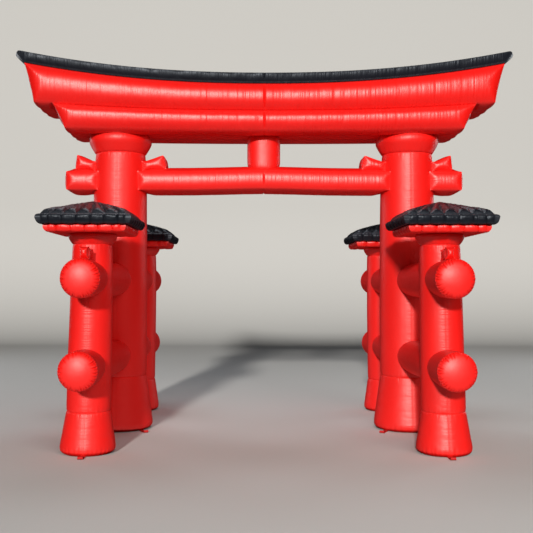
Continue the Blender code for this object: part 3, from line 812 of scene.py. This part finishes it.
def strut():
    """The short upright between the cross beam and the second beam."""
    turn = full_turn(STRUT_STEPS)
    rows, lengths = [], []
    for share in FAN:
        x, y = superellipse(turn, STRUT_HALF * share)
        rows.append(np.stack((x, y, nuki_top(x, y) + CLEAR), 1))
        lengths.append(share * STRUT_HALF - STRUT_HALF)
    for t in np.linspace(0, 1, STRUT_RINGS + 1):
        pinch = STRUT_PINCH * (np.exp(-t / 0.05) + np.exp(-(1 - t) / 0.05))
        x, y = superellipse(turn, STRUT_HALF - pinch)
        low, high = nuki_top(x, y) + CLEAR, shimaki_underside(x, y) - CLEAR
        ends = np.exp(-t / 0.07) + np.exp(-(1 - t) / 0.07)
        dent = STRUT_DENT * crease(turn / math.tau * 34, t * 5, 61, 34) * ends
        keep = 1 - dent / STRUT_HALF
        rows.append(np.stack((x * keep, y * keep, low + (high - low) * t), 1))
        lengths.append(t * STRUT_HEIGHT)
    for share in FAN[::-1]:
        x, y = superellipse(turn, (STRUT_HALF - STRUT_PINCH) * share)
        rows.append(np.stack((x, y, shimaki_underside(x, y) - CLEAR), 1))
        lengths.append(STRUT_HEIGHT + (1 - share) * STRUT_HALF)
    round_piece("strut", rows, lengths, STRUT_HALF, RED_ROUND, (len(FAN), len(FAN) + STRUT_RINGS))


# --- turned legs

def from_panel(turn):
    """How far a point of a leg's skin lies from its upright panel seam."""
    return np.abs(turn_from(turn, SEAM_PANEL)) * PANEL_RADIUS


def panel_valley(turn):
    return PANEL_DIP * np.exp(-(from_panel(turn) / SEAM_NARROW) ** 2)


def leg(name, profile, steps, size, place, lean, relief, seed, panel=None):
    """A turned length of a leg. relief gives how far the skin dips at an angle and a height."""
    line = smooth_line(profile, size, 0.75)
    turn = full_turn(steps)
    chord = run_along(line)
    heights, radii = line[:, 0][:, None], line[:, 1][:, None]
    turns = np.broadcast_to(turn, (len(line), steps))
    r = radii - relief(turns, chord[:, None] + 0 * turns, chord[-1], seed)
    rows = np.stack((place[0] + lean * heights + r * np.cos(turns),
        place[1] + r * np.sin(turns), heights + 0 * turns), -1)
    round_piece(name, *with_tips(rows, chord, radii[0, 0], radii[-1, 0]), float(radii.mean()),
        RED_ROUND, None, panel)


def column_relief(turn, s, total, seed):
    """A leg's shaft: panel seam with folds across it, and gathered ends."""
    share = turn / math.tau
    ends = np.minimum(s, total - s)
    folds = ticks(s * 0.77 % 1, from_panel(turn), 19, seed + 3, 0.15)
    return (SEAM_DIP * np.exp(-ends / SEAM_NARROW)
        + PUCKER * ticks(share, ends, 26, seed, PUCKER_REACH)
        + PANEL_FOLD * folds * (0.5 + 0.5 * np.exp(-s / 0.6))
        + COLUMN_CREASE * crease(share * 4, s / 0.09, seed + 1, 4) * np.exp(-s / 0.4)
        + COLUMN_WAVE * swells(share * 5, s / 0.35, seed + 2, 5) + panel_valley(turn))


def foot_relief(turn, s, total, seed):
    """A flared foot: gathered under its seam, folds round it and a puckered rim."""
    share = turn / math.tau
    folds = crease(share * 4, s / 0.055, seed + 1, 4) * clip(s / 0.05)
    rim = np.abs(total - s - RIM_HEIGHT)
    dip = (SEAM_DIP * np.exp(-s / SEAM_NARROW)
        + PUCKER * ticks(share, s, 26, seed, PUCKER_REACH)
        + FOOT_CREASE * folds * np.exp(-((s / total - 0.5) / 0.3) ** 2)
        + RIM_PUCKER * ticks(share, rim, 34, seed + 2, 0.06) + panel_valley(turn))
    return dip * clip((total - s) / 0.012)


def bowl_relief(turn, s, total, seed):
    """A bowl capital: smooth, with a few puckers that run up from its lower seam."""
    share = turn / math.tau
    some = clip(noise(share * 5, 0 * s, seed, 5) * 2)
    belly = ticks(share, np.abs(s - BELLY_RUN), 30, seed + 2, 0.035) * some
    return (BOWL_SEAM_DIP * np.exp(-(total - s) / SEAM_NARROW)
        + BOWL_PUCKER * (ticks(share, total - s, 24, seed, 0.06) + belly)
        + BOWL_WAVE * swells(share * 6, s / 0.1, seed + 1, 6))


def capital(name, side, seed):
    """A pillar's bowl, closed under the second beam's lobes."""
    turn = full_turn(200)
    around = np.cos(turn), np.sin(turn)
    line = smooth_line(PILLAR_CAPITAL[::-1], 0.008, 0.4)
    base, (lip, edge) = line[0, 0], line[-1]
    axis = side * PILLAR_X
    top = shimaki_underside(axis + edge * around[0], edge * around[1]) - CLEAR
    rows, lengths = [np.broadcast_to((axis, 0, base), (len(turn), 3))], [-line[0, 1]]
    runs = run_along(line)
    for (z, r), run in zip(line, runs):
        dip = bowl_relief(turn, runs[-1] - run + 0 * turn, runs[-1], seed)
        height = base + (top - base) * (z - base) / (lip - base)
        rows.append(np.stack((axis + (r - dip) * around[0], (r - dip) * around[1], height), 1))
        lengths.append(run)
    for share in (0.97, 0.85, 0.7, 0.55, 0.4, 0.25, 0.12, 0):
        x, y = axis + edge * share * around[0], edge * share * around[1]
        rows.append(np.stack((x, y, shimaki_underside(x, y) - CLEAR), 1))
        lengths.append(runs[-1] + edge * (1 - share))
    round_piece(name, rows, lengths, 0.31, RED_ROUND, (1, len(line)))


# --- quilted slabs and roofs

def lobe_cuts(seams, each):
    """Cuts from -1 to 1 that hit every seam and gather there, each lobe cut into as many steps."""
    steps = (1 - np.cos(math.pi * np.arange(each) / each)) / 2
    cuts = [a + (b - a) * steps for a, b in zip(seams[:-1], seams[1:])]
    return join(cuts + [[1]])


def quilted(name, half, heights, seams, steps, rim, crown, place, fabric, seed):
    """A low box with a rim of quilted lobes; crown gives each point's extra height.

    rim gives how far the lobes stand out on a seam and on a crown, at the sides and at the
    front, and how far the rim's underside hangs there.
    """
    side_stand, front_stand, hang = rim
    middle_height, thick = sum(heights) / 2, (heights[1] - heights[0]) / 2

    def shape(u, v, w):
        round_out = np.sqrt(np.maximum(1 - split_at(w, RIM_PEAK) ** 2, 0))
        away = [inner(t) * h for t, h in zip((u, v), half)]
        corner = [fade(a, RIM_CORNER) for a in away]
        near_corner = corner[0] ** 2 * corner[1] ** 2
        lobes = [np.maximum(channel(t, s) ** p, 0.95 * c)
            for t, s, p, c in zip((u, v), seams, (0.42, 0.6), corner)]
        tuck_x = TUCK * crease(v * 11 + 3, w * 0.9 + v * 2, seed + 1)
        tuck_y = (TUCK * crease(u * 11 + 3, w * 0.9 + u * 2, seed)
            + SMALL_TUCK * crease(u * 23, w * 1.6 - u * 5, seed + 4))
        x, y = (t * (h - RIM_INSET) + np.sign(t) * (
            at_end(t) * round_out * (mix(stand, bulge) - tuck) - back * near_corner)
            for t, h, stand, bulge, tuck, back in zip(
            (u, v), half, (side_stand, front_stand), lobes[::-1], (tuck_x, tuck_y),
            CORNER_BACK))
        beside = np.where(away[0] < away[1], lobes[1], lobes[0])
        drop = np.where(w < 0, mix(hang, beside), TOP_SEAM * (1 - beside))
        z = middle_height + thick * w - np.abs(w) * drop * fade(np.minimum(*away), RIM_FADE)
        return place[0] + x, place[1] + y, z + (w == 1) * crown(u, v)

    spans = (lobe_cuts(seams[0], steps[0]), lobe_cuts(seams[1], steps[1]), spread(steps[2], 1))
    box_piece(name, spans, (half[0], half[1], thick), shape, fabric)


def roof_crown(u, v):
    """A low pyramid with a rolled hem and deep ribs that run up it to the middle."""
    across, along = inner(u), inner(v)
    inward = soft_min(across, along, 0.16)
    reach = np.maximum(np.maximum(np.abs(u), np.abs(v)), 0.05)
    ribs = np.where(along <= across, channel(u / reach ** 0.7, HIP_ROOF_SEAMS[0]),
        channel(v / reach ** 0.7, HIP_ROOF_SEAMS[1]))
    away = np.minimum(across * HIP_ROOF_HALF[0], along * HIP_ROOF_HALF[1])
    valleys = RIB_DEPTH * (1 - ribs ** 0.8) * rise((away - 0.002) / RIB_START) * clip(reach * 1.5)
    folds = ROOF_FOLD * crease(u * 9, v * 3 + u * 2, 71) * clip(away / 0.03)
    return (HEM_RISE * rise(away / HEM_WIDTH) ** 0.8
        + (HIP_ROOF_RISE - 0.012) * clip(inward) ** 0.85 - valleys - folds)


# --- tubes

def onto_leg(start, offset, way, centre, lean, radius, far):
    """How far along its way a tube's point meets a leg's skin, on the near or far side."""
    height = start[2] + offset[..., 2]
    px = start[0] + offset[..., 0] - centre[0] - lean * height
    py = start[1] + offset[..., 1] - centre[1]
    b = px * way[0] + py * way[1]
    c = px * px + py * py - (radius(height) + CLEAR) ** 2
    root = np.sqrt(np.maximum(b * b - c, 0))
    return -b - root if far else -b + root


def tube(name, start, way, legs, seed, dome):
    """A tube from one leg's skin to the next leg's, or to its own domed end."""
    turn = full_turn(216 if dome else 84)
    way = np.array(way) / np.linalg.norm(way)
    beside, above = np.array((way[1], -way[0], 0)), np.array((0, 0, 1))
    ring = np.cos(turn)[:, None] * beside + np.sin(turn)[:, None] * above
    share = turn / math.tau
    rows, lengths = [], []

    def closing(part, which):
        """A ring of the tube's end, a part of its full width, on a leg's skin."""
        offset = ring * TUBE_WAIST * part
        s = onto_leg(start, offset, way, *legs[which], which == 1)
        return s, start + offset + s[:, None] * way

    for part in (0, 0.5, 0.85):
        rows.append(closing(part, 0)[1])
        lengths.append(part * TUBE_WAIST - TUBE_WAIST)
    first = closing(1, 0)[0]
    last = np.full(len(turn), STUB_REACH) if dome else closing(1, 1)[0]
    span = float((last - first).mean())
    low = len(rows)
    for t in (spread(int(round(span / TUBE_RING)), 0.85) + 1) / 2:
        near, off = t * span, (1 - t) * span
        r = TUBE_WAIST + (TUBE_RADIUS - TUBE_WAIST) * float(
            rise(t / 0.5) if dome else arch(2 * t - 1, 0.5))
        dip = (TUBE_PUCKER * ticks(share, near, 24, seed, 0.06)
            + TUBE_WAVE * swells(share * 5, near / 0.12 + 0 * share, seed + 2, 5))
        if dome:
            r -= (TUBE_RADIUS - SEAM_RADIUS) * max(0, 1 - off / SEAM_DRAW) ** 2
            dip += DOME_SEAM_PUCKER * ticks(share, off, 36, seed + 1, 0.05) * min(1, off / 0.01)
        else:
            dip = (dip + TUBE_PUCKER * ticks(share, off, 24, seed + 1, 0.06)) * min(1, off / 0.006)
        r = r - dip * min(1, near / 0.006)
        rows.append(start + ring * r[:, None] + (first + (last - first) * t)[:, None] * way)
        lengths.append(near)
    high = len(rows) - 1
    if dome:
        flat, bent, tip = DOME_ANGLES
        angles = join((np.linspace(flat, bent, 15)[1:], np.linspace(bent, tip, 6)[1:]))
        for t in np.radians(angles):
            r, s = SEAM_RADIUS * math.cos(t), DOME * math.sin(t)
            rim = math.hypot(SEAM_RADIUS - r, s)
            dip = DOME_PUCKER * ticks(share, rim, 40, seed + 1, 0.06) * min(1, rim / DOME_RIM)
            rows.append(start + ring * (r - dip * math.cos(t))[:, None]
                + (STUB_REACH + s - dip * math.sin(t))[:, None] * way)
            lengths.append(span + rim)
        rows[-1] = np.broadcast_to(start + (STUB_REACH + DOME) * way, ring.shape)
    else:
        for part in (0.85, 0.5, 0):
            rows.append(closing(part, 1)[1])
            lengths.append(span + TUBE_WAIST * (1 - part))
    round_piece(name, rows, lengths, TUBE_RADIUS, RED_ROUND, (low, high))


def post_wedge(name, axis, side):
    """A small pinched cushion on top of the upper tube end, against the post."""
    half_x, half_y = CUSHION_HALF
    front = -CUSHION_Y - half_y
    draw = CUSHION_DRAW

    def shape(u, v, w):
        a, b, c = arch(u), arch(v), arch(w)
        level, along = (w + 1) / 2, (v + 1) / 2
        x = u * half_x
        high = CUSHION_TOP - CUSHION_SLOPE * along
        low = axis[2] + np.sqrt(np.maximum((TUBE_RADIUS + CLEAR) ** 2 - x * x, 0)) + CLEAR
        z = low + (high - low) * level
        lean = -side * POST_LEAN * (z - axis[2])
        back = -np.sqrt(np.maximum((POST_SKIN(z) + CLEAR) ** 2 - (x - lean) ** 2, 0))
        y = front + (back - front) * along
        x = x + puff(u, CUSHION_SWELL, b * c, np.maximum(b, c), fade(inner(u), 0.4), 0, draw)
        y = y + puff(along - 1, CUSHION_PUFF, tent(inner(u), inner(w), 0.2),
            np.maximum(a, c), fade(along, 0.25), 0, draw)
        z = z + puff(level, CUSHION_SWELL, a * b, np.maximum(a, b),
            fade(1 - level, 0.2), 0, draw)
        return axis[0] + x, axis[1] + y, z

    spans = (spread(20, 0.2), spread(28, 0.2), spread(22, 0.2))
    box_piece(name, spans, (half_x, half_y, 0.07), shape, RED)


# --- webbing loops

def loop(name, side, foot, row, foot_skin):
    """A folded strap that points forward from a foot, open between its layers near its end."""
    bend = LOOP_HEIGHT / 2
    crotch, turn_at = row["length"] - EYE, row["length"] - bend
    aim = math.radians(row["aim"])
    way = np.array((-side * math.sin(aim), -math.cos(aim), 0))
    across = np.array((way[1], -way[0], 0))
    start = np.array(foot) + np.array((-side * row["inwards"], -row["forwards"], 0))
    half, thick = WEB_WIDTH / 2, WEB / 2
    lower, upper = thick, WEB * 1.5 + WEB_GAP
    peak = LOOP_HEIGHT - lower
    line = [(s, lower) for s in np.linspace(0, turn_at, 32)[:-1]]
    line += [(turn_at + (bend - lower) * math.sin(t), bend - (bend - lower) * math.cos(t))
        for t in np.radians(np.linspace(0, 180, 15))]
    line += [(turn_at + (crotch - turn_at) * t, peak + (upper - peak) * t * t * (3 - 2 * t))
        for t in np.linspace(0, 1, 14)[1:]]
    line = np.array(line + [(s, upper) for s in np.linspace(crotch, 0, 24)[1:]])
    tangent = np.gradient(line, axis=0)
    tangent /= np.linalg.norm(tangent, axis=1)[:, None]
    edge = half - WEB_ROUND
    above = [(-half, 0.3 * thick), (-edge, thick), (-0.6 * half, thick), (-0.2 * half, thick)]
    above += [(-a, b) for a, b in above[::-1]]
    section = np.array(above + [(a, -b) for a, b in above[::-1]])
    rows = []
    for (s, z), (forward, up) in zip(line, tangent):
        offset = section[:, 0][:, None] * across
        offset[:, 2] = z - section[:, 1] * forward
        hit = onto_leg(start, offset, way, foot, 0, foot_skin, False)
        run = s + section[:, 1] * up
        run = np.where(run < crotch, hit + (run / crotch) * (crotch - hit), run)
        rows.append(start + offset + run[:, None] * way)
    round_piece(name, *with_tips(np.array(rows), run_along(line), 0.01, 0.01),
        WEB_WIDTH / math.pi, WEBBING)


# --- the gate

PILLAR_SKIN, POST_SKIN = skin_radius(PILLAR), skin_radius(POST)
PILLAR_FOOT_SKIN, POST_FOOT_SKIN = skin_radius(PILLAR_FOOT), skin_radius(POST_FOOT)


def post(side_index, side_name, side, row_index, row):
    """One post with its foot, capital, slab, roof, tubes and, in front, wedge and loop."""
    row_name, toward, floor_x, toe = row
    tag = row_name + "_" + side_name
    seed = 160 + 40 * side_index + 20 * row_index
    foot = (side * floor_x, toward * POST_Y, 0)
    lean = -side * POST_LEAN
    leg("post_" + tag, POST, 124, 0.016, foot, lean, column_relief, seed, SEAM_PANEL)
    leg("post_foot_" + tag, POST_FOOT, 140, 0.01, foot, lean, foot_relief, seed + 3, SEAM_PANEL)
    leg("post_capital_" + tag, POST_CAPITAL, 120, 0.007, foot, lean, bowl_relief, seed + 6)
    top = (foot[0] + lean * SLAB_Z[0], foot[1])
    quilted("slab_" + tag, SLAB_HALF, SLAB_Z, SLAB_SEAMS, (9, 7, 8), SLAB_RIM,
        lambda u, v: 0 * u, top, RED, seed + 8)
    quilted("post_roof_" + tag, HIP_ROOF_HALF, ROOF_BAND, HIP_ROOF_SEAMS, (10, 7, 12),
        HIP_ROOF_RIM, roof_crown, top, BLACK, seed + 10)
    legs = ((foot, lean, POST_SKIN), ((side * PILLAR_X, 0, 0), 0, PILLAR_SKIN))
    for level_name, height in TUBE_HEIGHTS:
        start = np.array((foot[0] + lean * height, foot[1], height))
        tube("tube_end_%s_%s" % (level_name, tag), start, (-side * toe, toward, 0), legs,
            seed + 12, True)
        tube("tube_tie_%s_%s" % (level_name, tag), start,
            (side * PILLAR_X - start[0], -start[1], 0), legs, seed + 15, False)
    if row_name == "front":
        loop("loop_post_" + side_name, side, foot, POST_LOOP, POST_FOOT_SKIN)
        post_wedge("post_wedge_" + side_name, start, side)


beams()
nuki_part("nuki", 0, 81)
strut()
for index, (side_name, side) in enumerate(SIDES):
    seed = 100 + 20 * index
    foot = (side * PILLAR_X, 0, 0)
    leg("pillar_" + side_name, PILLAR, 180, 0.02, foot, 0, column_relief, seed, SEAM_PANEL)
    leg("pillar_foot_" + side_name, PILLAR_FOOT, 200, 0.01, foot, 0, foot_relief, seed + 4,
        SEAM_PANEL)
    capital("pillar_capital_" + side_name, side, seed + 8)
    loop("loop_pillar_" + side_name, side, foot, PILLAR_LOOP, PILLAR_FOOT_SKIN)
    nuki_part("nuki_stub_" + side_name, side, seed + 9)
    wedge("nuki_wedge_outer_" + side_name, side, WEDGE_OUTER, False, seed + 12)
    wedge("nuki_wedge_inner_" + side_name, side, WEDGE_INNER, True, seed + 14)
    for row_index, row in enumerate(POSTS):
        post(index, side_name, side, row_index, row)


# --- room, light and camera

FLOOR_SIDE, FLOOR_FRONT, BACKDROP_Y, BACKDROP_TOP = 40, -30, 16, 22
FLOOR_BEND, FLOOR_BEND_STEPS = 4, 12
CAMERA_PLACE = (-0.162, -8.862, 1.5195)
CAMERA_PITCH, CAMERA_ROLL = math.radians(1.383), math.radians(0.1)
PHOTO_SIDE, FOCAL_PIXELS = 533, 820
SENSOR = 36


def floor():
    """A pale floor that runs up into a backdrop."""
    line = [(FLOOR_FRONT, 0)]
    for k in range(FLOOR_BEND_STEPS + 1):
        t = math.radians(90 * k / FLOOR_BEND_STEPS)
        line.append((BACKDROP_Y - FLOOR_BEND + FLOOR_BEND * math.sin(t),
            FLOOR_BEND - FLOOR_BEND * math.cos(t)))
    line.append((BACKDROP_Y, BACKDROP_TOP))
    points = [(x, y, z) for y, z in line for x in (-FLOOR_SIDE, FLOOR_SIDE)]
    faces = [(2 * k, 2 * k + 1, 2 * k + 3, 2 * k + 2) for k in range(len(line) - 1)]
    mesh = bpy.data.meshes.new("floor")
    mesh.from_pydata(points, [], faces)
    mesh.shade_smooth()
    pale = {"Base Color": (0.56, 0.56, 0.555, 1), "Roughness": 0.8}
    mesh.materials.append(Look("studio floor").finish(pale))
    obj = new_object("floor", mesh)
    obj.visible_glossy = obj.visible_diffuse = False


def lamp(name, kind, energy, colour, place, aim, size, gloss=True):
    """A light. Without gloss it doesn't show in highlights."""
    data = bpy.data.lights.new(name, kind)
    data.energy = energy
    data.color = colour
    if kind == "AREA":
        data.shape = "RECTANGLE"
        data.size, data.size_y = size
    else:
        data.angle = size
    obj = new_object(name, data)
    obj.location = place
    obj.rotation_mode = "QUATERNION"
    obj.rotation_quaternion = (Vector(aim) - Vector(place)).to_track_quat("-Z", "Y")
    obj.visible_glossy = gloss
    return obj


def camera():
    """The photograph's point of view."""
    data = bpy.data.cameras.new("camera")
    data.sensor_width = SENSOR
    data.lens = FOCAL_PIXELS / PHOTO_SIDE * SENSOR
    data.shift_x = 0.0336
    data.clip_end = 200
    obj = new_object("camera", data)
    obj.matrix_world = (Matrix.Translation(CAMERA_PLACE)
        @ Matrix.Rotation(math.pi / 2 + CAMERA_PITCH, 4, "X")
        @ Matrix.Rotation(CAMERA_ROLL, 4, "Z"))
    bpy.context.scene.camera = obj


floor()
camera()
WARM, COOL = (1, 0.965, 0.9), (0.93, 0.96, 1)
lamp("key", "SUN", 3.3, WARM, (-1.6, -10, 3), (0, 0, 0), math.radians(4))
lamp("rim_left", "AREA", 130, COOL, (-9, 7, 4.5), (-1.2, 0, 2), (2, 6))
lamp("rim_right", "AREA", 130, COOL, (9, 7, 4.5), (1.2, 0, 2), (2, 6))
lamp("fill", "AREA", 540, WARM, (4, -10, 6), (0, 0, 2), (8, 6), False)
lamp("top", "AREA", 200, COOL, (-1, 2.5, 9), (0, 0, 2), (5, 3))
# Floor and world are hidden from bounced rays, so this lamp stands in for the floor's bounce
bounce = lamp("bounce", "AREA", 200, WARM, (0, 0, 0.02), (0, 0, 4), (13, 11), False)
bounce.visible_camera = False

world = bpy.data.worlds.new("studio")
world.use_nodes = True
sky = world.node_tree.nodes["Background"].inputs
sky["Color"].default_value = (0.9, 0.93, 1, 1)
sky["Strength"].default_value = 0.06
bpy.context.scene.world = world
world.cycles_visibility.glossy = world.cycles_visibility.diffuse = False
bpy.context.scene.view_settings.view_transform = "Standard"
